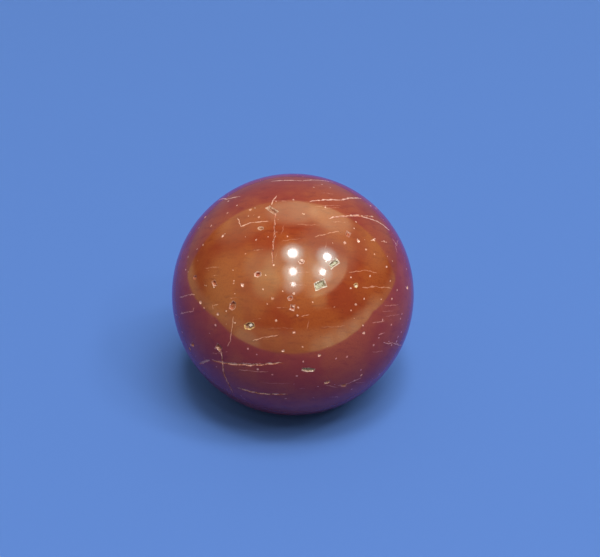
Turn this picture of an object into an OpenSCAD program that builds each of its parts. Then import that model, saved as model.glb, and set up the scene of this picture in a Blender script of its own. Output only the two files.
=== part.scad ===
// Polished ball of red-brown jasper, ground from a single lump of stone.
// The polish has opened angular crystal moulds (vugs), small round pinholes
// and a few hairline cracks that run out to nothing at both ends.
// Millimetres. The origin is the ball's centre, +Z is up and the face that
// shows best looks towards -Y. Latitude 0 and longitude 0 is the point of the
// skin on -Y; longitude grows towards +X and latitude towards +Z.

/* [Ball] */
// Diameter of the ball over the polish
ball_d = 50; // [40:1:60]

/* [Vugs] */
// Depth of the deepest vug's floor below the polish
vug_depth = 0.55; // [0.3:0.05:1]
// Width of the ledge round a vug's mouth
ledge_w = 0.16; // [0.08:0.02:0.24]
// Depth of that ledge below the polish
ledge_depth = 0.16; // [0.08:0.02:0.28]
// Number of vug places spread over the whole ball, of which the back keeps its own
vug_places = 26; // [0:1:40]

/* [Pinholes] */
// Diameter of a pinhole at the polish
pinhole_d = 0.5; // [0.3:0.05:0.8]
// Depth of a pinhole below the polish
pinhole_depth = 0.18; // [0.1:0.02:0.24]
// Number of pinhole places spread over the whole ball, of which the back keeps its own
pinhole_places = 64; // [0:1:100]

/* [Cracks] */
// Width of a crack between its two walls
crack_gape = 0.14; // [0.08:0.02:0.3]
// Depth of a crack at the middle of its run
crack_depth = 0.35; // [0.15:0.05:0.8]

/* [Hidden] */

$fn = 180;
ball_r = ball_d / 2;
// Cutters stand this far out of the skin, so that they open it cleanly
proud = 1;
// A crack's cutter runs this many degrees past each end of the crack
run_out = 1;
// A turn of the golden angle spreads places evenly round the ball
golden_angle = 137.508;
// A vug goes down by this share of its width, until it reaches vug_depth
vug_slope = 0.45;
// Most of the way down to its chord that a crack's floor may go
floor_share = 0.7;
// Smallest and largest mouth of the vugs on the back, and its width over its length
back_vug_l = [0.9, 2.2];
back_vug_aspect = 0.62;

// Middle of the face that is listed by hand; the back is what turns away from it
FACE = [32, 0];
// How far round the listed face reaches: the cosine of its half-angle
FACE_EDGE = 0.12;

// Vugs of the face: latitude, longitude, turn, length, width, corners
VUGS = [
    [ 36,  15,  12, 2.3, 1.5, 4],   // the great crystal mould
    [ 44,  26,  21, 2.2, 1.1, 4],   // its neighbour
    [ 72, -31, -19, 2.7, 1.0, 4],   // oblong mould near the crown
    [ -3,   7, -11, 2.5, 1.0, 6],   // long shallow one below the middle
    [ 24, -30,  75, 1.7, 1.3, 6],
    [  2, -35,  60, 1.4, 1.3, 4],
    [ 17, -20,  22, 2.0, 1.4, 6],
    [ 40, -20,  20, 1.3, 1.0, 6],
    [ 30, -44, -35, 1.3, 0.9, 4],
    [ 27, -59,  50, 1.0, 0.8, 6],
    [ 31,  -1,  20, 0.9, 0.8, 6],
    [ 27,   0,  80, 1.1, 0.8, 4],
    [ 47,   6,  30, 1.0, 0.8, 6],
    [ 32,  35,   0, 0.9, 0.8, 6],
    [ 54,  47,  30, 1.2, 0.9, 4],
    [ 61, -30,  15, 1.1, 0.7, 6],
    [-12,  16,  10, 1.1, 0.8, 6],
    [-17,  25, -20, 1.2, 0.7, 4],
    [ -5, -53,  60, 1.2, 0.9, 6]
];

// Pinholes of the face: latitude, longitude
PINHOLES = [
    [34, -27], [19, -49], [18, -37], [16,   1], [49, 51], [51, 40],
    [32,  60], [15,  72], [45, -94], [50, -57], [10, 34], [-14, 34],
    [ 4,  12], [ 7,  -4], [45,  64], [50, 102], [43, 110], [-10, -57]
];

// Cracks: latitude, longitude, heading (0 is due east), sweep of the run.
// They follow the bedding, which lies nearly level, or cross it steeply.
CRACKS = [
    [ -3, -22,  13, 38],   // long bedding crack low on the face
    [-12, -46,  40, 13],   // its tail to the left
    [-13, -33,  93, 32],   // steep one that crosses it
    [-20, -15,   5, 26],   // bedding crack below
    [ 59, -16, 101, 30],   // steep one up to the crown
    [ 59,  68, -35, 30],   // bedding crack over the right shoulder
    [-24, 152,   9, 36],   // bedding cracks of the back
    [ 28, 196, -12, 30],
    [-48, 240,  70, 22]    // steep one of the back
];

// The outward direction at a place on the skin
function outward(place) =
    [cos(place[0]) * sin(place[1]), -cos(place[0]) * cos(place[1]), sin(place[0])];

// A value from 0 to 1 that scatters with i and k and is the same on every build
function scatter(i, k) = let (wave = 43.7 * sin(78.2 * i + 37.7 * k)) wave - floor(wave);

// Place i of a spread of count places, shifted a little off the regular spiral
function spread(i, count) = [
    asin(1 - 2 * (i + 0.3 + 0.4 * scatter(i, 1)) / count),
    golden_angle * i + 20 * scatter(i, 2)
];

// The places of a spread that lie on the back
function on_back(count) = [
    for (i = [0 : 1 : count - 1])
        if (outward(spread(i, count)) * outward(FACE) < FACE_EDGE) spread(i, count)
];

// Outline of a crystal mould: a polygon as long and as wide as stated, one
// corner pulled in as the faces of a crystal meet unevenly
function mould_outline(length, width, corners) = [
    for (i = [0 : corners - 1])
        let (a = 360 * (i + 0.5) / corners, pull = i == 1 ? 0.82 : 1)
            pull / (2 * cos(180 / corners)) * [length * cos(a), width * sin(a)]
];

// Depth of a crack at the middle of its run: a short one closes up sooner,
// because its floor stays above the chord from end to end
function mid_depth(half) = min(crack_depth, floor_share * ball_r * (1 - cos(half)));

// How far below the ball's centre the floor of a crack is struck from: an arc
// that is deepest at the middle and comes up through the skin at half the sweep
function floor_drop(half, depth) =
    (pow(ball_r, 2) - pow(ball_r - depth, 2)) / (2 * (ball_r - depth - ball_r * cos(half)));

// Puts a cutter on the skin: its Z points outwards and its X to the east,
// turned by turn towards the north
module on_skin(place, turn = 0) {
    rotate([0, 0, place[1]])
        rotate([90 - place[0], 0, 0])
            translate([0, 0, ball_r])
                rotate([0, 0, turn])
                    children();
}

// One level of a mould, from its floor to proud of the skin
module mould_level(length, width, corners, depth) {
    translate([0, 0, -depth])
        linear_extrude(depth + proud)
            polygon(mould_outline(length, width, corners));
}

// Cutter of a vug: a shallow ledge round the mouth and a deeper pocket in it
module vug(length, width, corners) {
    mould_level(length, width, corners, ledge_depth);
    mould_level(length - 2 * ledge_w, width - 2 * ledge_w, corners,
                max(ledge_depth, min(vug_depth, vug_slope * width)));
}

// Cutter of a pinhole: a small ball whose cap has the stated width and depth
module pinhole() {
    pit_r = (pow(pinhole_d / 2, 2) + pow(pinhole_depth, 2)) / (2 * pinhole_depth);
    translate([0, 0, pit_r - pinhole_depth])
        sphere(pit_r, $fn = 36);
}

// Cutter of a crack whose plane holds the ball's centre, so that it goes
// straight down into the stone; the run's middle is on +Z
module crack(sweep) {
    half = sweep / 2;
    depth = mid_depth(half);
    drop = floor_drop(half, depth);
    rim = ball_r + proud;
    reach = rim * tan(half + run_out);
    rotate([90, 0, 0])
        linear_extrude(crack_gape, center = true)
            difference() {
                polygon([[0, 0], [-reach, rim], [reach, rim]]);
                translate([0, -drop])
                    circle(ball_r - depth + drop, $fn = 720);
            }
}

module jasper_sphere() {
    color([0.56, 0.24, 0.16])
        difference() {
            sphere(d = ball_d);
            for (v = VUGS)
                on_skin([v[0], v[1]], v[2]) vug(v[3], v[4], v[5]);
            for (place = PINHOLES)
                on_skin(place) pinhole();
            for (c = CRACKS)
                on_skin([c[0], c[1]], c[2]) translate([0, 0, -ball_r]) crack(c[3]);
            for (place = on_back(pinhole_places))
                on_skin(place) pinhole();
            back = on_back(vug_places);
            for (i = [0 : 1 : len(back) - 1]) {
                mouth = back_vug_l[0]
                    + (back_vug_l[1] - back_vug_l[0]) * pow(scatter(i, 3), 2);
                on_skin(back[i], 180 * scatter(i, 4))
                    vug(mouth, back_vug_aspect * mouth, i % 2 == 0 ? 4 : 6);
            }
        }
}

jasper_sphere();
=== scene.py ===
"""Looks of a polished jasper ball with crystal moulds, pinholes and hairline cracks.

The ball is 50 mm across and its origin is its centre. Places on its skin are
given as latitude and longitude in degrees: longitude 0 faces -Y and grows
towards +X, latitude grows towards +Z. Lengths named _mm are millimetres.
"""
import math
from collections import namedtuple

import bpy
import numpy as np
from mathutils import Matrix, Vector


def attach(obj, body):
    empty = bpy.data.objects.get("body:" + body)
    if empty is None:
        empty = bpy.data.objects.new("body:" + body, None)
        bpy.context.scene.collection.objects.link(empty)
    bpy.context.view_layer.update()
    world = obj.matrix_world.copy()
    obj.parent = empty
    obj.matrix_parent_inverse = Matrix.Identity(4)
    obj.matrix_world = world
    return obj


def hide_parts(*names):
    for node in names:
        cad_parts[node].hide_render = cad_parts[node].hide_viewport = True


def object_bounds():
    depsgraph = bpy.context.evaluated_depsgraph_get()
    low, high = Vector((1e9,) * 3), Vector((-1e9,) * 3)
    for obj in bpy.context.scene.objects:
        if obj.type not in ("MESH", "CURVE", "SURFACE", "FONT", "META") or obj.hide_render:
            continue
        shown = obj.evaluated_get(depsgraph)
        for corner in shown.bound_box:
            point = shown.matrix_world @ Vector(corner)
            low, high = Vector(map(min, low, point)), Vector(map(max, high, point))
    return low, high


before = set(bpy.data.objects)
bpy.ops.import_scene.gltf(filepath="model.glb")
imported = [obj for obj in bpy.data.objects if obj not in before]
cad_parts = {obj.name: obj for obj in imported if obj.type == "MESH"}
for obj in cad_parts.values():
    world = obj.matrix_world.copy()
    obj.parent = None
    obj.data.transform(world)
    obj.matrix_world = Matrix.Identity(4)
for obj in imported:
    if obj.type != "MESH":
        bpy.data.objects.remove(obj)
cad_low, cad_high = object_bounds()

MM = 0.001
BALL = "jasper_sphere"
RADIUS = (cad_high.z - cad_low.z) / 2
RADIUS_MM = RADIUS / MM
FLOOR_Z = cad_low.z
FLOOR_SIZE = 8.0

# ----------------------------------------------------------
# Camera: 600 x 557, the ball a little left of and below the middle
# ----------------------------------------------------------
CAMERA_ELEVATION = 32.0
CAMERA_DISTANCE = 11.0 * RADIUS
LENS_MM = 79.5
SENSOR_MM = 36.0
# Where the camera aims, measured from the ball's centre in the picture's plane
AIM_RIGHT = 1.47 * MM
AIM_UP = 3.30 * MM

# ----------------------------------------------------------
# Flaws of the stone
# ----------------------------------------------------------
# Middle of the face whose flaws are listed one by one, and how far it reaches
FACE = (32, 0)
FACE_EDGE = 0.12
GOLDEN_ANGLE = 137.508

# Crystal moulds, turned from due east and sized in mm: pale says how pale the rim
# is, a crystal rim partly brightened as a painted glint, and lined how far the inside is lined
# with crystals
Mould = namedtuple("Mould", "latitude longitude turn length width corners pale lined")
MOULDS = [
    (36, 15, 12, 2.3, 1.5, 4, 1.0, 1.0),
    (44, 26, 21, 2.2, 1.1, 4, 0.9, 1.0),
    (72, -31, -19, 2.7, 1.0, 4, 0.7, 0.3),
    (-3, 7, -11, 2.5, 1.0, 6, 0.4, 1.0),
    (24, -30, 75, 1.7, 1.3, 6, 0.5, 0.1),
    (2, -35, 60, 1.4, 1.3, 4, 0.5, 0.1),
    (17, -20, 22, 2.0, 1.4, 6, 1.0, 0.5),
    (40, -20, 20, 1.3, 1.0, 6, 1.0, 0.0),
    (30, -44, -35, 1.3, 0.9, 4, 0.5, 0.0),
    (27, -59, 50, 1.0, 0.8, 6, 0.3, 0.0),
    (31, -1, 20, 0.9, 0.8, 6, 1.0, 0.0),
    (27, 0, 80, 1.1, 0.8, 4, 0.6, 0.0),
    (47, 6, 30, 1.0, 0.8, 6, 0.9, 0.2),
    (32, 35, 0, 0.9, 0.8, 6, 1.0, 0.5),
    (54, 47, 30, 1.2, 0.9, 4, 0.4, 0.0),
    (61, -30, 15, 1.1, 0.7, 6, 0.6, 0.3),
    (-12, 16, 10, 1.1, 0.8, 6, 0.4, 0.0),
    (-17, 25, -20, 1.2, 0.7, 4, 0.4, 0.0),
    (-5, -53, 60, 1.2, 0.9, 6, 0.5, 0.0),
]
MOULDS = [Mould(*row) for row in MOULDS]
# Number of mould places spread over the whole ball, of which the back keeps its own
MOULD_PLACES = 26
BACK_MOULD_MM = (0.9, 2.2)
BACK_MOULD_ASPECT = 0.62
MOULD_DEPTH_MM = 0.55
# A mould goes down by this share of its width, until it reaches its full depth
MOULD_SLOPE = 0.45
# Width and depth of the ledge round a mould's mouth
LEDGE_MM = 0.16
# One corner of each mouth is pulled in to this share
PULLED_IN = 0.82
# How unevenly deep a mould's floor is
FLOOR_TILT = 0.25

# Quartz grains that stand in the moulds, their pale colour partly a painted glint: latitude,
# longitude, radius in mm, and the share of the mould's depth that they fill
GRAINS_AND_GLINTS = [
    (17.1, -19.5, 0.44), (37.0, 13.3, 0.20), (37.4, 14.5, 0.17), (35.5, 12.4, 0.15),
    (45.1, 28.6, 0.20), (27.4, 0.4, 0.28), (26.3, -0.9, 0.24), (40.0, -21.4, 0.16),
    (40.4, -18.6, 0.16), (31.5, 35.3, 0.30), (29.2, -43.4, 0.18), (-12, 15.7, 0.20),
    (47.4, 6.2, 0.30), (46.4, 5.0, 0.20),
]
GRAIN_HEIGHT = 0.8

# Pinholes: latitude, longitude, how far pale quartz lines it, its brightness partly a painted
# glint
PINHOLES = [
    (34, -27, 1.0), (19, -49, 0.6), (18, -37, 0.7), (16, 1, 1.0), (49, 51, 1.0), (51, 40, 0.2),
    (32, 60, 0.7), (15, 72, 1.0), (45, -94, 0.9), (50, -57, 0.9), (10, 34, 0.2), (-14, 34, 0.8),
    (4, 12, 0.8), (7, -4, 0.8), (45, 64, 0.8), (50, 102, 0.8), (43, 110, 0.9), (-10, -57, 0.5),
]
# Number of pinhole places spread over the whole ball, as for the moulds
PINHOLE_PLACES = 64
PINHOLE_MM = 0.5
PINHOLE_DEPTH_MM = 0.18

# Open cracks, with their heading from due east and the sweep of their run; width in
# mm and strength are those of the bruised pale stone beside them, whose brightest part is a
# painted glint
Crack = namedtuple("Crack", "latitude longitude heading sweep width strength")
CRACKS = [
    (-3, -22, 13, 38, 0.32, 1.25),
    (-12, -46, 40, 13, 0.28, 1.0),
    (-13, -33, 93, 32, 0.16, 0.7),
    (-20, -15, 5, 26, 0.30, 1.2),
    (59, -16, 101, 30, 0.17, 0.5),
    (59, 68, -35, 30, 0.20, 0.85),
    (-24, 152, 9, 36, 0.28, 0.9),
    (28, 196, -12, 30, 0.20, 0.7),
    (-48, 240, 70, 22, 0.14, 0.5),
]
CRACKS = [Crack(*row) for row in CRACKS]
CRACK_GAPE_MM = 0.14
CRACK_DEPTH_MM = 0.35
# Most of the way down to its chord that a crack's floor may go
FLOOR_SHARE = 0.7
# How far the bruised stone beside a crack has crumbled away
LIP_MM = 0.10

# Healed veins: the places each one runs through, half its width in mm, strength
VEINS = [
    # Over the crown and the right shoulder
    ([(76.5, -134.5), (80.5, 153), (65, 130)], 0.24, 1.0),
    ([(48, -113), (58, -100.5), (65, -94)], 0.24, 0.9),
    ([(77, 40.5), (68, 78.5), (55, 106.5)], 0.24, 1.0),
    ([(73, 39.5), (66.5, 69.5)], 0.13, 0.4),
    ([(70.5, 43.5), (66, 65.5)], 0.13, 0.35),
    ([(60.4, 64), (56.6, 73), (52, 79.5), (46.5, 84.5), (39, 88)], 0.25, 1.0),
    ([(80.5, -49), (74.5, -37.5)], 0.20, 0.8),
    ([(60, -60.5), (58, -49), (62, -42.5), (65.5, -27)], 0.18, 0.8),
    ([(65, 4), (63, 25.5)], 0.13, 0.35),
    ([(56.5, -8), (58, 6.5)], 0.11, 0.35),
    ([(58, 18.5), (58, 30), (57, 41)], 0.14, 0.5),
    # Left side
    ([(12.5, -67), (17.5, -59.5), (20, -54.5)], 0.18, 0.7),
    ([(5.5, -64.5), (9.5, -58.5), (12.5, -53), (14.5, -52.5)], 0.18, 0.7),
    ([(19.5, -40.5), (20.5, -41), (22, -38)], 0.16, 0.6),
    ([(19, -28.5), (13.5, -28.5), (7, -29), (4, -30.5)], 0.14, 0.7),
    # Low on the face
    ([(-8, -45.5), (-9.5, -44)], 0.18, 0.6),
    ([(-26, -27.5), (-30, -26.5)], 0.18, 0.6),
    ([(10.5, -18), (12.5, -12.5), (14.5, -6.5)], 0.16, 0.7),
    ([(-7, -24.5), (-5.5, -19.5), (-4.5, -11)], 0.15, 0.6),
    ([(-12, -14), (-11, -1)], 0.13, 0.3),
    ([(-13.5, 14.5), (-18, 22)], 0.18, 0.5),
    ([(-16.5, 22), (-16.5, 27), (-16, 34.5)], 0.18, 0.7),
    ([(-18, 31.5), (-21, 37.5)], 0.13, 0.4),
    # Middle and right side
    ([(23, 4.5), (23.5, 8)], 0.15, 0.6),
    ([(17.5, 13.5), (16, 24.5)], 0.11, 0.3),
    ([(38, 34), (36.5, 42.5), (32.5, 51)], 0.13, 0.5),
    ([(30, 38.5), (27.5, 47.5), (22.5, 57)], 0.14, 0.55),
    ([(31.5, 90), (33.5, 80), (31.5, 77.5)], 0.15, 0.5),
    ([(17.5, 49), (13, 59)], 0.12, 0.5),
    ([(15.5, 46.5), (12.5, 54)], 0.11, 0.4),
    ([(12.5, 48.5), (8, 59)], 0.11, 0.4),
    ([(12.5, 39.5), (11, 47)], 0.15, 0.6),
    ([(-0.5, 46), (-4, 52.5), (-14, 66.5)], 0.18, 0.8),
    ([(-2, 39), (-5, 45.5)], 0.12, 0.5),
    ([(5.5, 42), (5, 46.5)], 0.16, 0.7),
    ([(16.3, 70), (13.5, 72.5)], 0.24, 0.9),
    ([(36.5, 83), (32.5, 82.5)], 0.18, 0.7),
    ([(45.5, 61.5), (44.5, 66)], 0.20, 0.8),
    ([(42, 69), (39, 74)], 0.20, 0.6),
]

# Number of vein places spread over the whole ball, of which the back keeps its own
VEIN_PLACES = 24

# Quartz specks, their bright dots partly a painted glint of tiny pits: latitude, longitude,
# radius in mm, strength
SPECKS = [
    (59, -95, 0.26, 0.9), (67, -57, 0.45, 0.5), (66, -39.5, 0.31, 0.5),
    (58, -75.5, 0.36, 0.4), (59, -4, 0.21, 0.7), (58.5, -14.5, 0.21, 0.9),
    (47.5, -32, 0.21, 0.5), (33.5, -32.5, 0.26, 0.5), (45, -11.5, 0.26, 0.8),
    (34, -5, 0.21, 0.8), (70.5, 15.5, 0.21, 0.7), (70.5, 50, 0.21, 0.8),
    (80, 103.5, 0.21, 0.8), (74.5, 118.5, 0.21, 0.8), (71.5, 108.5, 0.21, 0.8),
    (40, 56.5, 0.21, 0.6), (44, 52.5, 0.31, 0.6), (35, 65.5, 0.21, 0.6),
    (31.5, 67.5, 0.21, 0.6), (36, 33.5, 0.21, 0.9), (33, 45.5, 0.26, 0.7),
    (31.5, 31.5, 0.26, 0.8), (25, 37.5, 0.26, 0.9), (17.5, -46, 0.26, 0.6),
    (12.5, -37.5, 0.31, 0.8), (21, -7.5, 0.31, 0.8), (30.5, -10, 0.36, 0.5),
    (27, 3, 0.26, 0.7), (6, -20, 0.26, 0.8), (-4, -63, 0.26, 0.8),
    (22, 29, 0.26, 0.7), (6.5, 51.5, 0.31, 0.6), (9, 4.5, 0.26, 0.6),
    (33.5, 82.5, 0.26, 0.8), (25.5, 58, 0.24, 0.8), (19.5, 61, 0.24, 0.7),
    (5.5, 59.5, 0.26, 0.7), (-2.5, 60.5, 0.26, 0.8), (18, 55, 0.30, 0.8),
    (-16, 30.5, 0.30, 0.8), (-16.5, 24.5, 0.34, 0.7), (-12, 16, 0.26, 0.8),
    (-10, 33, 0.22, 0.8), (-5.5, 56.5, 0.36, 0.9), (0.5, 25, 0.30, 0.6),
    (4, 42.5, 0.24, 0.7), (-6.5, -55, 0.42, 0.7), (-4, -15.5, 0.30, 0.9),
    (45.5, 105, 0.34, 1.0), (40.5, 72, 0.36, 0.6), (40.5, -67.5, 0.24, 0.8),
    (25.5, -70, 0.26, 0.9), (60.5, -31, 0.26, 0.6), (13.5, 34, 0.26, 0.8),
    (-6, -9, 0.26, 0.6), (-10, -37.5, 0.22, 0.6),
]


def outward(latitude, longitude):
    """Unit direction from the ball's centre to a place on its skin."""
    a, b = math.radians(latitude), math.radians(longitude)
    return np.array([math.cos(a) * math.sin(b), -math.cos(a) * math.cos(b), math.sin(a)])


def eastward(longitude):
    """Unit direction due east along the skin."""
    b = math.radians(longitude)
    return np.array([math.cos(b), math.sin(b), 0.0])


def headings(latitude, longitude, turn):
    """Outward, along and across directions of a flaw turned from due east."""
    up = outward(latitude, longitude)
    east = eastward(longitude)
    north = np.cross(up, east)
    c, s = math.cos(math.radians(turn)), math.sin(math.radians(turn))
    return up, c * east + s * north, c * north - s * east


def scatter(i, k):
    """A value from 0 to 1 that scatters with i and k, the same on every run."""
    wave = 43.7 * math.sin(math.radians(78.2 * i + 37.7 * k))
    return wave - math.floor(wave)


def spread(i, count):
    """Place i of count places spread evenly round the ball."""
    height = 1 - 2 * (i + 0.3 + 0.4 * scatter(i, 1)) / count
    return math.degrees(math.asin(height)), GOLDEN_ANGLE * i + 20 * scatter(i, 2)


def on_back(count):
    """Those of count places that lie on the side that is not listed."""
    face = outward(*FACE)
    places = [spread(i, count) for i in range(count)]
    return [p for p in places if outward(*p) @ face < FACE_EDGE]


def back_moulds():
    """Moulds of the side that is not listed, spread by rule."""
    made = []
    for i, (latitude, longitude) in enumerate(on_back(MOULD_PLACES)):
        small, large = BACK_MOULD_MM
        length = small + (large - small) * scatter(i, 3) ** 2
        corners = 4 if i % 2 == 0 else 6
        made.append(Mould(latitude, longitude, 180 * scatter(i, 4), length,
                          BACK_MOULD_ASPECT * length, corners,
                          0.4 + 0.6 * scatter(i, 5), scatter(i, 6) ** 2))
    return made


def all_pinholes():
    """Every pinhole, with those of the side that is not listed."""
    back = [(*place, scatter(i, 12) ** 2) for i, place in enumerate(on_back(PINHOLE_PLACES))]
    return PINHOLES + back


# ----------------------------------------------------------
# Distances on the skin, in mm, for many points at once
# ----------------------------------------------------------
FAR_MM = 1e9
# A crack's mesh is made finer up to this share of its half run
PAST_END = 1.04


def mould_inside(points, mould):
    """How far inside a mould's mouth each point lies; negative outside."""
    up, along, across = headings(mould.latitude, mould.longitude, mould.turn)
    x, y = points @ along, points @ across
    corner = []
    for i in range(mould.corners):
        a = 2 * math.pi * (i + 0.5) / mould.corners
        pull = (PULLED_IN if i == 1 else 1.0) / (2 * math.cos(math.pi / mould.corners))
        corner.append((pull * mould.length * math.cos(a), pull * mould.width * math.sin(a)))
    inside = np.full(len(points), FAR_MM)
    for (x0, y0), (x1, y1) in zip(corner, corner[1:] + corner[:1]):
        run = math.hypot(x1 - x0, y1 - y0)
        inside = np.minimum(inside, ((x1 - x0) * (y - y0) - (y1 - y0) * (x - x0)) / run)
    inside[points @ up < 0] = -RADIUS_MM
    return inside


def crack_distance(points, crack):
    """Distance from a crack's plane and share of the run from its middle."""
    up, along, across = headings(crack.latitude, crack.longitude, crack.heading)
    turn = np.degrees(np.arctan2(points @ along, points @ up))
    return points @ across, turn / (crack.sweep / 2)


def ragged(points):
    """A small wander of a line on the skin, in mm, smooth from point to point."""
    x, y, z = points.T
    slow = np.sin(0.9 * x + 0.4 * y) * np.cos(0.7 * z - 0.3 * x)
    quick = np.sin(3.1 * x - 1.3 * z + 0.5) * np.cos(2.3 * y + 1.7 * z)
    fine = np.sin(7.3 * x + 5.1 * z) * np.cos(6.1 * y - 4.3 * x)
    return 0.16 * slow + 0.07 * quick + 0.03 * fine


def smooth_step(low, high, value):
    """Value taken smoothly from low..high to 0..1; low may be the greater."""
    share = np.clip((value - low) / (high - low), 0.0, 1.0)
    return share * share * (3 - 2 * share)


def crack_depth_mm(sweep):
    """Depth of a crack at the middle of its run."""
    rise = RADIUS_MM * (1 - math.cos(math.radians(sweep / 2)))
    return min(CRACK_DEPTH_MM, FLOOR_SHARE * rise)


def distance_mm(points, place):
    """Distance of each point from a place on the skin."""
    return np.linalg.norm(points - RADIUS_MM * outward(*place), axis=1)


def near(points, place, reach_mm):
    """Numbers of the points that lie within reach_mm of a place on the skin."""
    return np.nonzero(distance_mm(points, place) < reach_mm)[0]


def flaw_distance(points):
    """Distance in mm from each point to the nearest mould, pinhole or crack."""
    nearest = np.full(len(points), FAR_MM)
    for mould in MOULDS + back_moulds():
        at = near(points, mould[:2], 2 * mould.length + 2)
        nearest[at] = np.minimum(nearest[at], -mould_inside(points[at], mould))
    for pinhole in all_pinholes():
        away = distance_mm(points, pinhole[:2]) - PINHOLE_MM / 2
        nearest = np.minimum(nearest, away)
    for crack in CRACKS:
        side, share = crack_distance(points, crack)
        side = np.abs(side + ragged(points)) - CRACK_GAPE_MM
        nearest = np.where(np.abs(share) < PAST_END, np.minimum(nearest, side), nearest)
    return nearest


# ----------------------------------------------------------
# The ball's mesh
# ----------------------------------------------------------
# Faces nearer to a flaw than each of these are halved once more
FINER_WITHIN_MM = (1.2, 0.7, 0.38, 0.12)
# Fields that the mesh carries for the material: pocket is the open inside of a flaw,
# lining its pale rim, partly a painted glint, crystal how far a mould is lined with
# crystals, grain a bright crystal that stands in it, its brightness partly a painted
# glint, bruise the pale stone along a crack, brightest where a glint is painted, and
# cleft its core, which the material darkens as painted shade
FIELDS = ("pocket", "lining_and_glint", "crystal", "grain_and_glint", "bruise_and_glint", "cleft")
# Depth that a full weight of the displacement digs
DEEPEST_MM = 1.0
EVERYWHERE = slice(None)


def deselect_all():
    if bpy.context.object and bpy.context.object.mode != "OBJECT":
        bpy.ops.object.mode_set(mode="OBJECT")
    bpy.ops.object.select_all(action="DESELECT")


def apply_modifier(piece, kind, **settings):
    """Adds a modifier with the given settings and applies it."""
    modifier = piece.modifiers.new(kind.lower(), kind)
    for name, value in settings.items():
        setattr(modifier, name, value)
    bpy.context.view_layer.objects.active = piece
    bpy.ops.object.modifier_apply(modifier=modifier.name)


def true_ball(piece):
    """Puts every point exactly on the ball."""
    apply_modifier(piece, "CAST", cast_type="SPHERE", factor=1.0, radius=RADIUS,
                   use_radius_as_size=True)


def points_mm(mesh):
    """The mesh's points as rows of x, y and z in mm."""
    flat = np.empty(len(mesh.vertices) * 3)
    mesh.vertices.foreach_get("co", flat)
    return flat.reshape(-1, 3) / MM


def halve_faces(piece, chosen):
    """Halves the edges of the chosen faces in edit mode."""
    mesh = piece.data
    mesh.vertices.foreach_set("select", np.zeros(len(mesh.vertices), bool))
    mesh.edges.foreach_set("select", np.zeros(len(mesh.edges), bool))
    mesh.polygons.foreach_set("select", chosen)
    bpy.context.view_layer.objects.active = piece
    bpy.ops.object.mode_set(mode="EDIT")
    bpy.ops.mesh.select_mode(type="FACE")
    bpy.ops.mesh.subdivide(number_cuts=1, smoothness=0.0)
    bpy.ops.object.mode_set(mode="OBJECT")
    true_ball(piece)


def refine(piece):
    """Makes the mesh finer in steps towards every flaw."""
    for within in FINER_WITHIN_MM:
        mesh = piece.data
        flat = np.empty(len(mesh.polygons) * 3)
        mesh.polygons.foreach_get("center", flat)
        centres = flat.reshape(-1, 3)
        centres *= RADIUS_MM / np.linalg.norm(centres, axis=1)[:, None]
        halve_faces(piece, flaw_distance(centres) < within)
    deselect_all()
    bpy.context.view_layer.objects.active = piece
    bpy.ops.object.mode_set(mode="EDIT")
    bpy.ops.mesh.select_all(action="SELECT")
    bpy.ops.mesh.quads_convert_to_tris()
    bpy.ops.object.mode_set(mode="OBJECT")


def raise_to(field, at, values):
    """Raises a field to the given values at the chosen points, where they are more."""
    field[at] = np.maximum(field[at], values)


def dig_moulds(points, depth, fields):
    """Moulds with a ledge round the mouth, a deeper pocket and a pale ragged rim, whose paleness
    is partly a painted glint on the mouth's edge.
    """
    for number, mould in enumerate(MOULDS + back_moulds()):
        at = near(points, mould[:2], 2 * mould.length + 1)
        inside = mould_inside(points[at], mould) + 0.25 * ragged(3 * points[at])
        floor = max(LEDGE_MM, min(MOULD_DEPTH_MM, MOULD_SLOPE * mould.width))
        ledge = LEDGE_MM * smooth_step(-0.02, 0.10, inside)
        deep = (floor - LEDGE_MM) * smooth_step(0.7 * LEDGE_MM, 2.0 * LEDGE_MM, inside)
        tilt = 1 + FLOOR_TILT * np.sin(2.2 * (points[at] @ eastward(41 * number)))
        raise_to(depth, at, ledge + deep * tilt)
        raise_to(fields["pocket"], at, smooth_step(0.3 * LEDGE_MM, 1.4 * LEDGE_MM, inside))
        rim = smooth_step(-0.10, -0.02, inside) * smooth_step(0.18, 0.06, inside)
        raise_to(fields["lining_and_glint"], at, rim * mould.pale)
        raise_to(fields["crystal"], at, (inside > -0.3) * mould.lined)


def stand_glinting_grains(points, depth, fields):
    """Quartz grains, which fill most of the mould's depth where they stand; their pale colour is
    partly a painted glint.
    """
    for latitude, longitude, size in GRAINS_AND_GLINTS:
        at = near(points, (latitude, longitude), 1.0)
        away = distance_mm(points[at], (latitude, longitude)) + 0.5 * ragged(4 * points[at])
        standing = smooth_step(size, 0.5 * size, away)
        raise_to(fields["grain_and_glint"], at, standing)
        depth[at] *= 1 - GRAIN_HEIGHT * standing


def dig_pinholes(points, depth, fields):
    """Round bowls, ragged at the edge, with a pale ring that is partly a painted glint."""
    for latitude, longitude, quartz_and_glint in all_pinholes():
        at = near(points, (latitude, longitude), 1.0)
        away = distance_mm(points[at], (latitude, longitude)) + 0.7 * ragged(4 * points[at])
        share = np.clip(1 - (away / (PINHOLE_MM / 2)) ** 2, 0, 1)
        raise_to(depth, at, PINHOLE_DEPTH_MM * share ** 0.7)
        raise_to(fields["pocket"], at, smooth_step(0.14, 0.06, away))
        ring = smooth_step(0.34, 0.22, away) * smooth_step(0.04, 0.12, away)
        raise_to(fields["lining_and_glint"], at, ring)
        raise_to(fields["grain_and_glint"], at, smooth_step(0.28, 0.14, away) * quartz_and_glint)


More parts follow.
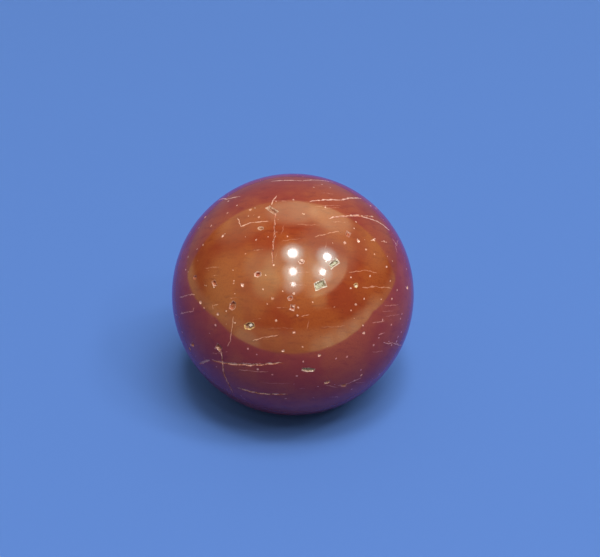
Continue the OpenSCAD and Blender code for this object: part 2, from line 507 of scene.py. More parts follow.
def open_cracks(points, depth, fields):
    """Clefts that run out to nothing, between crumbled lips of bruised pale stone, brightest
    where a glint is painted.
    """
    for crack in CRACKS:
        side, share = crack_distance(points, crack)
        side = side + ragged(points)
        taper = np.clip(1 - share ** 2, 0, 1)
        half = CRACK_GAPE_MM / 2 * taper ** 0.5
        core = smooth_step(half + 0.05, half * 0.4, np.abs(side)) * (taper > 0)
        raise_to(depth, EVERYWHERE, crack_depth_mm(crack.sweep) * taper * core)
        shown = smooth_step(0.0, 0.3, taper)
        uneven = np.clip(0.9 + 3.0 * ragged(4 * points), 0.3, 1.5)
        wide = crack.width * uneven * taper ** 0.5
        edge = smooth_step(wide + 0.04, 0.4 * wide, np.abs(side - 0.05))
        raise_to(fields["bruise_and_glint"], EVERYWHERE, edge * shown * crack.strength)
        lip = np.clip(1 - np.abs(side) / np.maximum(wide, 0.01), 0, 1) * shown * (taper > 0)
        raise_to(depth, EVERYWHERE, LIP_MM * min(1.0, crack.strength) * lip)
        broken = np.clip(0.5 + 3 * ragged(2 * points), 0, 1)
        raise_to(fields["cleft"], EVERYWHERE, core * shown * broken)


def flaw_fields(points):
    """Depth in mm at each point, and the fields that colour the flaws."""
    depth = np.zeros(len(points))
    fields = {name: np.zeros(len(points)) for name in FIELDS}
    dig_moulds(points, depth, fields)
    stand_glinting_grains(points, depth, fields)
    dig_pinholes(points, depth, fields)
    open_cracks(points, depth, fields)
    return depth, fields


def set_field(mesh, name, values):
    field = mesh.attributes.new(name, "FLOAT", "POINT")
    field.data.foreach_set("value", values.astype(np.float32))


def weigh(piece, name, weights):
    """Vertex group of the given weights; points of no weight stay out of it."""
    group = piece.vertex_groups.new(name=name)
    for number in np.nonzero(weights > 0)[0]:
        group.add([int(number)], float(weights[number]), "REPLACE")


def make_ball():
    """The ball with its flaws dug in; untouched polish keeps the true ball's normals."""
    deselect_all()
    bpy.ops.mesh.primitive_ico_sphere_add(subdivisions=6, radius=RADIUS)
    ball = bpy.context.object
    ball.name = "polished_ball"
    ball.data.name = "polished_ball"
    true_ball(ball)
    refine(ball)
    depth, fields = flaw_fields(points_mm(ball.data))
    for name, values in fields.items():
        set_field(ball.data, name, values)
    weigh(ball, "dug", depth / DEEPEST_MM)
    weigh(ball, "polish", (depth <= 0).astype(float))
    bpy.ops.object.shade_smooth()
    apply_modifier(ball, "DISPLACE", direction="NORMAL", mid_level=0.0,
                   strength=-DEEPEST_MM * MM, vertex_group="dug")
    apply_modifier(ball, "NORMAL_EDIT", mode="RADIAL", mix_mode="COPY",
                   mix_factor=1.0, vertex_group="polish")
    return ball


# ----------------------------------------------------------
# Node helpers
# ----------------------------------------------------------
def put(socket, value):
    """Links a socket to another, or sets its value."""
    if isinstance(value, bpy.types.NodeSocket):
        socket.id_data.links.new(value, socket)
    elif value is not None:
        socket.default_value = value


def calc(tree, operation, a, b=None, c=None, clamp=False):
    node = tree.nodes.new("ShaderNodeMath")
    node.operation = operation
    node.use_clamp = clamp
    for socket, value in zip(node.inputs, (a, b, c)):
        put(socket, value)
    return node.outputs[0]


def vector_calc(tree, operation, a, b=None, scale=None):
    node = tree.nodes.new("ShaderNodeVectorMath")
    node.operation = operation
    put(node.inputs[0], a)
    put(node.inputs[1], b)
    if scale is not None:
        put(node.inputs["Scale"], scale)
    single = operation in ("DOT_PRODUCT", "LENGTH", "DISTANCE")
    return node.outputs["Value" if single else "Vector"]


def ramp_up(tree, value, low, high, to_low=0.0, to_high=1.0):
    """Value taken smoothly from low..high to to_low..to_high.

    A smooth step holds its ends by itself, so the node's own clamp stays off.
    """
    node = tree.nodes.new("ShaderNodeMapRange")
    node.interpolation_type = "SMOOTHSTEP"
    node.clamp = False
    for name, number in (("Value", value), ("From Min", low), ("From Max", high),
                         ("To Min", to_low), ("To Max", to_high)):
        put(node.inputs[name], number)
    return node.outputs["Result"]


def blend_colour(tree, share, under, over, kind="MIX"):
    node = tree.nodes.new("ShaderNodeMix")
    node.data_type = "RGBA"
    node.blend_type = kind
    put(node.inputs["Factor"], share)
    put(node.inputs["A"], under)
    put(node.inputs["B"], over)
    return node.outputs["Result"]


def cloud(tree, vector, scale, detail=3.0, rough=0.5, colour=False):
    """Noise whose features are about 1/scale mm across."""
    node = tree.nodes.new("ShaderNodeTexNoise")
    put(node.inputs["Vector"], vector)
    put(node.inputs["Scale"], scale)
    put(node.inputs["Detail"], detail)
    put(node.inputs["Roughness"], rough)
    return node.outputs["Color" if colour else "Fac"]


def new_group(name, inputs, outputs):
    """An empty node group; inputs are (name, kind, default)."""
    tree = bpy.data.node_groups.new(name, "ShaderNodeTree")
    for label, kind, value in inputs:
        socket = tree.interface.new_socket(label, in_out="INPUT",
                                           socket_type="NodeSocket" + kind)
        if value is not None:
            socket.default_value = value
    for label, kind in outputs:
        tree.interface.new_socket(label, in_out="OUTPUT", socket_type="NodeSocket" + kind)
    given = tree.nodes.new("NodeGroupInput").outputs
    return tree, given, tree.nodes.new("NodeGroupOutput").inputs


def place_group(tree, group, **values):
    """Outputs of a node group placed in a tree, its inputs linked or set by name."""
    node = tree.nodes.new("ShaderNodeGroup")
    node.node_tree = group
    for name, value in values.items():
        put(node.inputs[name.replace("_", " ").capitalize()], value)
    return node.outputs


# ----------------------------------------------------------
# Effects of the stone, as node groups. Vectors are in mm from the ball's centre
# ----------------------------------------------------------
# The bedding is tilted about X, so its layers show as level lines on the face
BEDDING_TILT = math.radians(40)


def wander_group():
    """Shifts places a little, so that lines through the stone wander."""
    tree, given, out = new_group("Wander", [("Vector", "Vector", None),
                                            ("Slow", "Float", 0.5), ("Fine", "Float", 0.1)],
                                 [("Vector", "Vector")])
    middle = (0.5, 0.5, 0.5)
    slow = cloud(tree, given["Vector"], 0.22, 2.0, colour=True)
    slow = vector_calc(tree, "SUBTRACT", slow, middle)
    slow = vector_calc(tree, "SCALE", slow, scale=given["Slow"])
    fine = cloud(tree, given["Vector"], 1.0, 3.0, colour=True)
    fine = vector_calc(tree, "SUBTRACT", fine, middle)
    fine = vector_calc(tree, "SCALE", fine, scale=given["Fine"])
    both = vector_calc(tree, "ADD", slow, fine)
    put(out["Vector"], vector_calc(tree, "ADD", given["Vector"], both))
    return tree


def back_veins():
    """Veins of the side that is not listed: most follow the bedding, some cross it."""
    bedding = np.array([0, math.sin(BEDDING_TILT), math.cos(BEDDING_TILT)])
    made = []
    for i, place in enumerate(on_back(VEIN_PLACES)):
        up = outward(*place)
        along = np.cross(bedding, up)
        along /= np.linalg.norm(along)
        across = np.cross(up, along)
        turn = math.radians(16 * (scatter(i, 7) - 0.5) + (76 if i % 5 == 4 else 0))
        half = math.radians(5 + 9 * scatter(i, 8))
        bend = 0.12 * half * (2 * scatter(i, 9) - 1)
        run = math.cos(turn) * along + math.sin(turn) * across
        side = math.cos(turn) * across - math.sin(turn) * along
        line = [up * math.cos(half) - run * math.sin(half), up + bend * side,
                up * math.cos(half) + run * math.sin(half)]
        made.append((line, 0.13 + 0.12 * scatter(i, 10), 0.5 + 0.5 * scatter(i, 11)))
    return made


def vein_legs():
    """Each leg of each vein: its sheet, middle, reach, half width and strength."""
    listed = [([outward(*place) for place in places], width, strength)
              for places, width, strength in VEINS]
    legs = []
    for ends, width, strength in listed + back_veins():
        for start, end in zip(ends, ends[1:]):
            sheet, middle = np.cross(start, end), (start + end) / 2
            reach = 1.12 * RADIUS_MM * np.linalg.norm(end - start) / 2
            legs.append((tuple(sheet / np.linalg.norm(sheet)),
                         tuple(RADIUS_MM * middle / np.linalg.norm(middle)),
                         max(reach, 0.5), width, strength))
    return legs


def vein_group():
    """One leg of a healed vein: a thin sheet in the stone that closes at its ends."""
    tree, given, out = new_group(
        "Healed vein",
        [("Vector", "Vector", None), ("Sheet", "Vector", None), ("Middle", "Vector", None),
         ("Reach", "Float", 5.0), ("Width", "Float", 0.2), ("Strength", "Float", 1.0),
         ("Break", "Float", 0.5)],
        [("Mask", "Float")])
    off = vector_calc(tree, "DOT_PRODUCT", given["Vector"], given["Sheet"])
    away = calc(tree, "ABSOLUTE", off)
    along = vector_calc(tree, "DISTANCE", given["Vector"], given["Middle"])
    share = calc(tree, "POWER", calc(tree, "DIVIDE", along, given["Reach"]), 4.0)
    taper = calc(tree, "MAXIMUM", calc(tree, "SUBTRACT", 1.0, share), 0.0)
    uneven = ramp_up(tree, given["Break"], 0.34, 0.62, 0.35, 1.25)
    width = calc(tree, "MULTIPLY", calc(tree, "MULTIPLY", given["Width"], uneven), taper)
    line = ramp_up(tree, away, calc(tree, "MULTIPLY", width, 0.2), width, 1.0, 0.0)
    shown = calc(tree, "MULTIPLY", line, ramp_up(tree, taper, 0.0, 0.3))
    put(out["Mask"], calc(tree, "MULTIPLY", shown, given["Strength"]))
    return tree


def speck_group():
    """One speck: a small round grain at a place in the stone."""
    tree, given, out = new_group(
        "Speck",
        [("Vector", "Vector", None), ("Middle", "Vector", None), ("Size", "Float", 0.3),
         ("Strength", "Float", 1.0)],
        [("Mask", "Float")])
    away = vector_calc(tree, "DISTANCE", given["Vector"], given["Middle"])
    dot = ramp_up(tree, away, calc(tree, "MULTIPLY", given["Size"], 0.3), given["Size"], 1.0, 0.0)
    put(out["Mask"], calc(tree, "MULTIPLY", dot, given["Strength"]))
    return tree


def seam_group():
    """Short thin seams that follow layers across Z, in patches."""
    tree, given, out = new_group(
        "Seams",
        [("Vector", "Vector", None), ("Spacing", "Float", 2.0), ("Width", "Float", 0.1),
         ("Cover", "Float", 0.5), ("Patch", "Float", 0.15)],
        [("Mask", "Float")])
    apart = tree.nodes.new("ShaderNodeSeparateXYZ")
    put(apart.inputs[0], given["Vector"])
    layer = calc(tree, "DIVIDE", apart.outputs["Z"], given["Spacing"])
    number = calc(tree, "FLOOR", layer)
    white = tree.nodes.new("ShaderNodeTexWhiteNoise")
    white.noise_dimensions = "1D"
    put(white.inputs["W"], number)
    middle = ramp_up(tree, white.outputs["Value"], 0.0, 1.0, 0.3, 0.7)
    off = calc(tree, "SUBTRACT", calc(tree, "SUBTRACT", layer, number), middle)
    away = calc(tree, "MULTIPLY", calc(tree, "ABSOLUTE", off), given["Spacing"])
    shift = tree.nodes.new("ShaderNodeCombineXYZ")
    put(shift.inputs["X"], calc(tree, "MULTIPLY", number, 17.3))
    moved = vector_calc(tree, "ADD", given["Vector"], shift.outputs[0])
    patch = cloud(tree, moved, given["Patch"], 2.0)
    shown = ramp_up(tree, patch, calc(tree, "SUBTRACT", 1.0, given["Cover"]),
                    calc(tree, "SUBTRACT", 1.12, given["Cover"]))
    width = calc(tree, "MULTIPLY", given["Width"], ramp_up(tree, shown, 0.0, 1.0, 0.4, 1.0))
    line = ramp_up(tree, away, calc(tree, "MULTIPLY", width, 0.3), width, 1.0, 0.0)
    put(out["Mask"], calc(tree, "MULTIPLY", line, shown))
    return tree


def fleck_group():
    """Small flecks, each in its own cell of the stone, of uneven size."""
    tree, given, out = new_group(
        "Flecks",
        [("Vector", "Vector", None), ("Spacing", "Float", 2.0), ("Size", "Float", 0.2),
         ("Share", "Float", 0.4)],
        [("Mask", "Float"), ("Ring", "Float")])
    cells = tree.nodes.new("ShaderNodeTexVoronoi")
    put(cells.inputs["Vector"], given["Vector"])
    put(cells.inputs["Scale"], calc(tree, "DIVIDE", 1.0, given["Spacing"]))
    away = calc(tree, "MULTIPLY", cells.outputs["Distance"], given["Spacing"])
    apart = tree.nodes.new("ShaderNodeSeparateColor")
    put(apart.inputs[0], cells.outputs["Color"])
    chosen = calc(tree, "LESS_THAN", apart.outputs["Red"], given["Share"])
    size = calc(tree, "MULTIPLY", given["Size"],
                ramp_up(tree, apart.outputs["Green"], 0.0, 1.0, 0.4, 1.0))
    dot = ramp_up(tree, away, calc(tree, "MULTIPLY", size, 0.6), size, 1.0, 0.0)
    hollow = ramp_up(tree, away, calc(tree, "MULTIPLY", size, 0.25),
                     calc(tree, "MULTIPLY", size, 0.55))
    put(out["Mask"], calc(tree, "MULTIPLY", dot, chosen))
    put(out["Ring"], calc(tree, "MULTIPLY", calc(tree, "MULTIPLY", dot, hollow), chosen))
    return tree


# ----------------------------------------------------------
# Materials
# ----------------------------------------------------------
BRICK = (0.330, 0.048, 0.016, 1)
RUST = (0.400, 0.082, 0.019, 1)
BURNT = (0.235, 0.031, 0.013, 1)
CHOCOLATE = (0.110, 0.022, 0.012, 1)
SALMON = (0.740, 0.310, 0.190, 1)
CREAM = (0.940, 0.575, 0.450, 1)
QUARTZ_AND_GLINT = (0.940, 0.830, 0.680, 1)
GOLDEN = (0.880, 0.600, 0.240, 1)
POCKET_BROWN = (0.180, 0.090, 0.040, 1)
CRYSTAL = (0.500, 0.460, 0.320, 1)
JASPER_IOR = 1.54
# The steep seams stand at this angle to the bedding
STEEP_SEAMS = math.radians(78)
# How many times finer the specks' edges wander than the veins
CRUMBLE = 2.5


def body_colour(tree, stone, bedded):
    """Soft clouds of brick and rust with burnt streaks along the bedding."""
    drawn = tree.nodes.new("ShaderNodeMapping")
    put(drawn.inputs["Vector"], bedded)
    drawn.inputs["Scale"].default_value = (0.4, 0.4, 1.5)
    clouds = cloud(tree, stone, 0.11, 3.0, 0.5)
    body = blend_colour(tree, ramp_up(tree, clouds, 0.40, 0.62), BRICK, RUST)
    layers = cloud(tree, drawn.outputs[0], 0.9, 5.0, 0.6)
    body = blend_colour(tree, ramp_up(tree, layers, 0.50, 0.72, 0.0, 0.55), body, BURNT)
    body = blend_colour(tree, ramp_up(tree, layers, 0.46, 0.30, 0.0, 0.30), body, RUST)
    mottle = cloud(tree, stone, 3.2, 3.0, 0.6)
    return blend_colour(tree, ramp_up(tree, mottle, 0.40, 0.70, 0.0, 0.30), body, BURNT)


def vein_mask(tree, bent, bedded, breaks):
    """Healed veins, listed one by one on the face and in thin seams all over."""
    vein, seams = vein_group(), seam_group()
    veined = None
    for sheet, middle, reach, width, strength in vein_legs():
        mask = place_group(tree, vein, vector=bent, sheet=sheet, middle=middle, reach=reach,
                           width=width, strength=strength)["Mask"]
        put(mask.node.inputs["Break"], breaks)
        veined = mask if veined is None else calc(tree, "MAXIMUM", veined, mask)
    level = place_group(tree, seams, vector=bedded, spacing=2.1, width=0.11, cover=0.42,
                        patch=0.16)["Mask"]
    level = calc(tree, "MULTIPLY", level, ramp_up(tree, breaks, 0.40, 0.62, 0.1, 0.55))
    stood = tree.nodes.new("ShaderNodeVectorRotate")
    stood.rotation_type = "Y_AXIS"
    put(stood.inputs["Vector"], bedded)
    put(stood.inputs["Angle"], STEEP_SEAMS)
    steep = place_group(tree, seams, vector=stood.outputs[0], spacing=7.0, width=0.13,
                        cover=0.36, patch=0.11)["Mask"]
    steep = calc(tree, "MULTIPLY", steep, 0.5)
    return calc(tree, "MAXIMUM", veined, calc(tree, "MAXIMUM", level, steep))


def speck_mask(tree, crumbly, flecks):
    """Specks of pale quartz, listed one by one on the face and strewn all over; their pale dots
    and rings are partly painted glints of tiny pits.
    """
    speck = speck_group()
    specks = place_group(tree, flecks, vector=crumbly, spacing=1.9, size=0.26,
                         share=0.6)["Ring"]
    for latitude, longitude, size, strength in SPECKS:
        middle = tuple(RADIUS_MM * outward(latitude, longitude))
        mask = place_group(tree, speck, vector=crumbly, middle=middle, size=size,
                           strength=strength)["Mask"]
        specks = calc(tree, "MAXIMUM", specks, mask)
    return specks


def flaw_colour(tree, stone, body, fields, crystals, breaks):
    """Open moulds and pinholes with their rims and grains, then the bruised cracks. The bare
    inside is lifted with painted light, the rims, grains and brightest crack lips carry painted
    glints, and the crack cores painted shade.
    """
    dark = ramp_up(tree, crystals, 0.45, 0.80, 0.0, 0.8)
    grown = blend_colour(tree, dark, CRYSTAL, POCKET_BROWN)
    # The bare inside of a pocket is a little paler than the body: painted light that lifts the
    # shade in the pocket
    bare = blend_colour(tree, 0.15, body, SALMON)
    inside = blend_colour(tree, fields["crystal"], bare, grown)
    body = blend_colour(tree, fields["pocket"], body, inside)
    uneven = ramp_up(tree, cloud(tree, stone, 1.6, 2.0), 0.38, 0.58, 0.4, 1.0)
    white = blend_colour(tree, ramp_up(tree, fields["crystal"], 0.1, 0.5), CREAM, QUARTZ_AND_GLINT)
    golden = calc(tree, "SUBTRACT", ramp_up(tree, fields["crystal"], 0.2, 0.5),
                  ramp_up(tree, fields["crystal"], 0.5, 0.9))
    rim = blend_colour(tree, golden, white, GOLDEN)
    # Pale rims of moulds and pinholes: crystal colour, brightened as a painted glint on the
    # mouth's edge
    body = blend_colour(tree, calc(tree, "MULTIPLY", fields["lining_and_glint"], uneven), body, rim)
    # Grains and pinhole fills take the pale quartz colour, partly a painted glint
    body = blend_colour(tree, fields["grain_and_glint"], body, white)
    uneven = ramp_up(tree, breaks, 0.40, 0.56, 0.3, 1.15)
    bruise_and_glint = calc(tree, "MULTIPLY", fields["bruise_and_glint"], uneven)
    body = blend_colour(tree, ramp_up(tree, bruise_and_glint, 0.0, 0.6), body, SALMON)
    body = blend_colour(tree, ramp_up(tree, bruise_and_glint, 0.4, 0.8), body, CREAM)
    # The brightest part of the bruise goes to quartz white: a painted glint on the crack's lips
    body = blend_colour(tree, ramp_up(tree, bruise_and_glint, 0.8, 1.2, 0.0, 0.25), body, QUARTZ_AND_GLINT)
    # The core of each crack is darkened towards chocolate: painted shade in the cleft
    return blend_colour(tree, calc(tree, "MULTIPLY", fields["cleft"], 0.25), body, CHOCOLATE)


def gloss(tree, stone, veined, bruise_and_glint, open_stone):
    """Roughness: a mirror polish, hazier on veins and dull in the open stone."""
    haze = ramp_up(tree, cloud(tree, stone, 0.5, 3.0), 0.35, 0.70, 0.07, 0.11)
    haze = calc(tree, "ADD", haze, calc(tree, "MULTIPLY", veined, 0.10))
    haze = calc(tree, "ADD", haze, calc(tree, "MULTIPLY", bruise_and_glint, 0.20))
    return calc(tree, "ADD", haze, calc(tree, "MULTIPLY", open_stone, 0.20), clamp=True)


def relief(tree, stone, crystals, open_stone):
    """Normal: crystals in the open stone and a faint orange peel on the polish."""
    peel = cloud(tree, stone, 0.8, 2.0)
    grown = calc(tree, "MULTIPLY", crystals, open_stone)
    height = calc(tree, "MULTIPLY_ADD", peel, 0.05, calc(tree, "MULTIPLY", grown, 3.0))
    bump = tree.nodes.new("ShaderNodeBump")
    bump.inputs["Strength"].default_value = 0.6
    bump.inputs["Distance"].default_value = 0.03 * MM
    put(bump.inputs["Height"], height)
    return bump.outputs[0]


def jasper_material():
    material = bpy.data.materials.new("polished_jasper")
    material.use_nodes = True
    tree = material.node_tree
    surface = tree.nodes["Principled BSDF"]
    surface.inputs["IOR"].default_value = JASPER_IOR
    place = tree.nodes.new("ShaderNodeTexCoord").outputs["Object"]
    stone = vector_calc(tree, "SCALE", place, scale=1 / MM)

    wander, flecks = wander_group(), fleck_group()
    bent = place_group(tree, wander, vector=stone, slow=0.9, fine=0.6)["Vector"]
    tilted = tree.nodes.new("ShaderNodeVectorRotate")
    tilted.rotation_type = "X_AXIS"
    put(tilted.inputs["Vector"], bent)
    put(tilted.inputs["Angle"], BEDDING_TILT)
    bedded = tilted.outputs[0]
    body = body_colour(tree, stone, bedded)

    breaks = cloud(tree, stone, 1.3, 4.0, 0.7)
    veined = vein_mask(tree, bent, bedded, breaks)
    body = blend_colour(tree, ramp_up(tree, veined, 0.0, 0.7), body, SALMON)
    body = blend_colour(tree, ramp_up(tree, veined, 0.55, 0.95), body, CREAM)

    # Specks wander at a smaller scale than the veins, so that they look crumbly
    small = vector_calc(tree, "SCALE", stone, scale=CRUMBLE)
    small = place_group(tree, wander, vector=small, slow=0.0, fine=1.0)["Vector"]
    crumbly = vector_calc(tree, "SCALE", small, scale=1 / CRUMBLE)
    specks = speck_mask(tree, crumbly, flecks)
    # Pale specks: quartz colour that also paints the glint of tiny pits
    body = blend_colour(tree, ramp_up(tree, specks, 0.0, 0.4, 0.0, 0.9), body, SALMON)
    body = blend_colour(tree, ramp_up(tree, specks, 0.35, 0.8), body, CREAM)
    ore = place_group(tree, flecks, vector=bent, spacing=1.3, size=0.16, share=0.35)["Mask"]
    body = blend_colour(tree, calc(tree, "MULTIPLY", ore, 0.5), body, CHOCOLATE)

    fields = {}
    for name in FIELDS:
        field = tree.nodes.new("ShaderNodeAttribute")
        field.attribute_name = name
        fields[name] = field.outputs["Fac"]
    cells = tree.nodes.new("ShaderNodeTexVoronoi")
    put(cells.inputs["Vector"], stone)
    put(cells.inputs["Scale"], 3.5)
    crystals = cells.outputs["Distance"]
    body = flaw_colour(tree, stone, body, fields, crystals, breaks)
    put(surface.inputs["Base Color"], body)

    open_stone = calc(tree, "MAXIMUM", fields["pocket"], fields["cleft"])
    open_stone = calc(tree, "SUBTRACT", open_stone, fields["grain_and_glint"], clamp=True)
    haze = gloss(tree, stone, veined, fields["bruise_and_glint"], open_stone)
    put(surface.inputs["Roughness"], haze)
    put(surface.inputs["Normal"], relief(tree, stone, crystals, open_stone))
    return material


# The floor's colour as the camera sees it, as it throws light back up at the ball,
# and as the polish mirrors it
FLOOR_PALE = (0.11, 0.235, 0.62, 1)
FLOOR_BOUNCE = (0.03, 0.03, 0.08, 1)
FLOOR_MIRRORED = (0.09, 0.125, 0.55, 1)
# Left, right and near edge of the cloth as the polish mirrors it: past them the
# polish sees on into the room
CLOTH_EDGES = (-0.230, 0.320, -0.088)


def seen_rays(tree):
    """1 for rays that see a thing itself, 0 for those that only carry light; and 1
    for the mirrored ones among them."""
    ray = tree.nodes.new("ShaderNodeLightPath").outputs
    seen = calc(tree, "MAXIMUM", ray["Is Camera Ray"], ray["Is Glossy Ray"])
    seen = calc(tree, "MAXIMUM", seen, ray["Is Transmission Ray"])
    return seen, ray["Is Glossy Ray"]


def floor_material():
    """Pale cloth, which the polish sees only up to its edges."""
    material = bpy.data.materials.new("pale_floor")
    material.use_nodes = True
    tree = material.node_tree
    surface = tree.nodes["Principled BSDF"]
    seen, mirrored = seen_rays(tree)
    colour = blend_colour(tree, seen, FLOOR_BOUNCE, FLOOR_PALE)
    colour = blend_colour(tree, mirrored, colour, FLOOR_MIRRORED)
    put(surface.inputs["Base Color"], colour)
    surface.inputs["Roughness"].default_value = 0.75
    surface.inputs["Specular IOR Level"].default_value = 0.2

    left, right, near_edge = CLOTH_EDGES
    apart = tree.nodes.new("ShaderNodeSeparateXYZ")
    put(apart.inputs[0], tree.nodes.new("ShaderNodeTexCoord").outputs["Object"])
    across, deep = apart.outputs["X"], apart.outputs["Y"]
    beyond = calc(tree, "MAXIMUM", calc(tree, "SUBTRACT", across, right),
                  calc(tree, "SUBTRACT", left, across))
    beyond = calc(tree, "MAXIMUM", beyond, calc(tree, "SUBTRACT", near_edge, deep))
    beyond = calc(tree, "GREATER_THAN", beyond, 0.0)
    opened = tree.nodes.new("ShaderNodeMixShader")
    put(opened.inputs[0], calc(tree, "MULTIPLY", beyond, mirrored))
    put(opened.inputs[1], surface.outputs[0])
    put(opened.inputs[2], tree.nodes.new("ShaderNodeBsdfTransparent").outputs[0])
    put(tree.nodes["Material Output"].inputs["Surface"], opened.outputs[0])
    return material


# ----------------------------------------------------------
# Studio
# ----------------------------------------------------------
# Five ceiling lamps in two rows: place and radius as shares of the ceiling's
# height, and how strong the soft halo that the polish draws round the lamp is
CEILING = 2.0
LAMPS = [
    (0.00, -0.348, 0.080, 1.15),
    (0.007, -0.740, 0.073, 0.85),
    (0.015, -1.118, 0.050, 0.45),
    (0.61, -0.330, 0.077, 1.10),
    (0.62, -0.700, 0.070, 0.75),
]
LAMP_GLOW = 23.0
# Angles in degrees within which a halo is full and at which it is gone, colour,
# and the power by which it falls off towards its edge
HALO = (2, 12, (3.4, 5.5, 5.5))
HALO_FOCUS = 1.3
# A wide soft lamp in their midst, which the polish doesn't mirror: place, radius
SOFT_LAMP = (0.18, -0.33, 0.3)
SOFT_GLOW = 8.1
# Light from all round, where nothing is mirrored
AMBIENT = (0.18, 0.18, 0.18, 1)
# The room: its floor, and the air above it
ROOM_FLOOR = (1.00, 0.75, 0.42, 1)
ROOM_AIR = (0.32, 0.17, 0.08, 1)
# Soft glows that only mirrored rays see, by latitude and longitude as on the ball:
# angle in degrees within which each is full, angle at which it is gone, colour
GLOWS = [
    (59, -3, 8, 28, (1.70, 1.80, 0.95)),
    (63, 180, 8, 21, (2.00, 2.05, 1.25)),
    (51, 134, 7, 19, (1.90, 1.95, 1.20)),
    (60, 152, 8, 22, (0.60, 0.70, 0.40)),
    (45, -133, 10, 28, (0.90, 0.90, 0.50)),
    (28, 114, 6, 26, (0.60, 0.60, 0.30)),
    (50, 5, 24, 40, (0.50, 0.50, 0.20)),
    (58, 73, 6, 32, (0.35, 1.05, 0.80)),
    (38, -31, 4, 17, (1.20, 1.35, 0.60)),
    (51, -52, 4, 19, (1.00, 1.10, 0.55)),
    (26, -62, 14, 44, (0.90, 0.85, 0.35)),
    (24, 27, 3, 10, (0.90, 0.90, 0.40)),
    (-18, 26, 3, 14, (0.85, 0.85, 0.50)),
    (-15, 38, 3, 14, (0.80, 0.80, 0.50)),
    (-12, 50, 3, 14, (0.80, 0.80, 0.50)),
    (-8, 63, 3, 14, (0.80, 0.80, 0.50)),
    (-5, 78, 3, 14, (0.80, 0.80, 0.45)),
    (-17, -41, 7, 14, (0.90, 0.90, 0.50)),
]
# A glow that a round edge cuts off on its right
EDGED_GLOW = (35, 46, 8, 32, (2.50, 2.35, 1.40))
ROUND_EDGE = (68, 26, 39.2, 41.0)
# Cloth of the backdrop, which rises behind the ball as a round hill
HILL = (-12, 177, 60.5, 62.5, (0.12, 0.22, 0.42))


def ceiling_lamp(name, x, y, radius, glow):
    """A round lamp of the given radiance on the ceiling, turned to the ball."""
    data = bpy.data.lights.new(name, "AREA")
    data.shape = "DISK"
    data.size = 2 * radius * CEILING
    data.energy = glow * math.pi * math.pi * (radius * CEILING) ** 2
    place = CEILING * Vector((x, y, 1))
    lamp = bpy.data.objects.new(name, data)
    lamp.location = place
    lamp.rotation_euler = (-place).to_track_quat("-Z", "Y").to_euler()
    bpy.context.scene.collection.objects.link(lamp)
    return lamp


def glow_group():
    """Soft round glow about a direction: 1 within Inner, 0 beyond Outer."""
    tree, given, out = new_group("Soft glow", [("Vector", "Vector", None),
                                               ("Middle", "Vector", None),
                                               ("Inner", "Float", 0.97),
                                               ("Outer", "Float", 0.80),
                                               ("Focus", "Float", 1.0)],
                                 [("Mask", "Float")])
    toward = vector_calc(tree, "DOT_PRODUCT", given["Vector"], given["Middle"])
    soft = ramp_up(tree, toward, given["Outer"], given["Inner"])
    put(out["Mask"], calc(tree, "POWER", soft, given["Focus"]))
    return tree


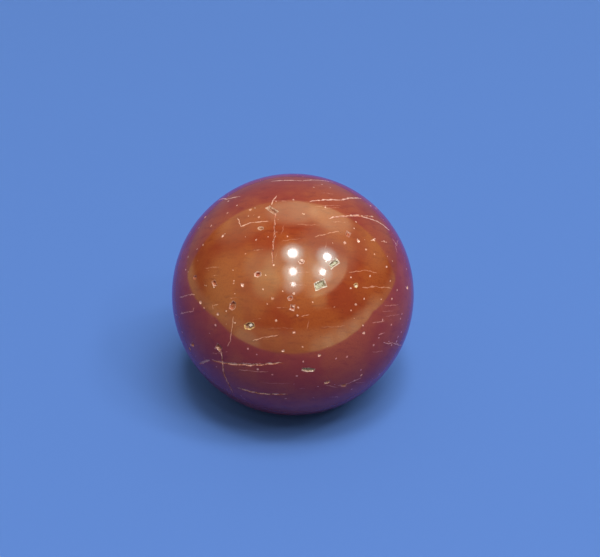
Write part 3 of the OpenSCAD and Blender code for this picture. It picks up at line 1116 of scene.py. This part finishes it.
def studio_air():
    """The room round the ball: air, floor, soft glows, halos and the hill of cloth."""
    world = bpy.data.worlds.new("studio_air")
    world.use_nodes = True
    tree = world.node_tree
    way = tree.nodes.new("ShaderNodeTexCoord").outputs["Generated"]
    seen, mirrored = seen_rays(tree)
    apart = tree.nodes.new("ShaderNodeSeparateXYZ")
    put(apart.inputs[0], way)
    above = ramp_up(tree, apart.outputs["Z"], -0.08, 0.06)
    plain = blend_colour(tree, above, ROOM_FLOOR, ROOM_AIR)
    glow = glow_group()

    def glow_mask(middle, inner, outer, focus=1.0):
        return place_group(tree, glow, vector=way, middle=tuple(Vector(middle).normalized()),
                           inner=math.cos(math.radians(inner)),
                           outer=math.cos(math.radians(outer)), focus=focus)["Mask"]

    air = plain
    for latitude, longitude, inner, outer, colour in GLOWS:
        mask = glow_mask(outward(latitude, longitude), inner, outer)
        air = blend_colour(tree, mask, air, (*colour, 1), "ADD")
    latitude, longitude, inner, outer, colour = EDGED_GLOW
    mask = glow_mask(outward(latitude, longitude), inner, outer)
    latitude, longitude, inner, outer = ROUND_EDGE
    mask = calc(tree, "MULTIPLY", mask, glow_mask(outward(latitude, longitude), inner, outer))
    air = blend_colour(tree, mask, air, (*colour, 1), "ADD")
    inner, outer, colour = HALO
    for x, y, _, halo in LAMPS:
        mask = glow_mask((x, y, 1), inner, outer, HALO_FOCUS)
        mask = calc(tree, "MULTIPLY", mask, halo)
        air = blend_colour(tree, mask, air, (*colour, 1), "ADD")
    air = blend_colour(tree, mirrored, plain, air)
    latitude, longitude, inner, outer, colour = HILL
    hill = glow_mask(outward(latitude, longitude), inner, outer)
    room = blend_colour(tree, hill, air, (*colour, 1))
    put(tree.nodes["Background"].inputs["Color"], blend_colour(tree, seen, AMBIENT, room))
    return world


def light_studio():
    for number, (x, y, radius, _) in enumerate(LAMPS):
        ceiling_lamp(f"ceiling_lamp_{number + 1}", x, y, radius, LAMP_GLOW)
    soft = ceiling_lamp("soft_lamp", *SOFT_LAMP, SOFT_GLOW)
    soft.visible_glossy = False
    bpy.context.scene.world = studio_air()


def lay_floor():
    deselect_all()
    bpy.ops.mesh.primitive_plane_add(size=FLOOR_SIZE, location=(0, 0, FLOOR_Z))
    floor = bpy.context.object
    floor.name = "floor"
    floor.data.materials.append(floor_material())


def set_camera():
    """Looks down at the ball's -Y face."""
    elevation = math.radians(CAMERA_ELEVATION)
    back = Vector((0, -math.cos(elevation), math.sin(elevation)))
    rise = Vector((0, math.sin(elevation), math.cos(elevation)))
    aim = AIM_RIGHT * Vector((1, 0, 0)) + AIM_UP * rise
    data = bpy.data.cameras.new("camera")
    data.sensor_width = SENSOR_MM
    data.lens = LENS_MM
    data.clip_start = 0.01
    data.clip_end = 20.0
    camera = bpy.data.objects.new("camera", data)
    camera.location = aim + CAMERA_DISTANCE * back
    camera.rotation_euler = (-back).to_track_quat("-Z", "Y").to_euler()
    bpy.context.scene.collection.objects.link(camera)
    bpy.context.scene.camera = camera


def main():
    set_camera()
    ball = make_ball()
    ball.data.materials.append(jasper_material())
    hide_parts(BALL)
    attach(ball, "root")
    light_studio()
    lay_floor()
    bpy.context.scene.view_settings.view_transform = "Standard"


main()
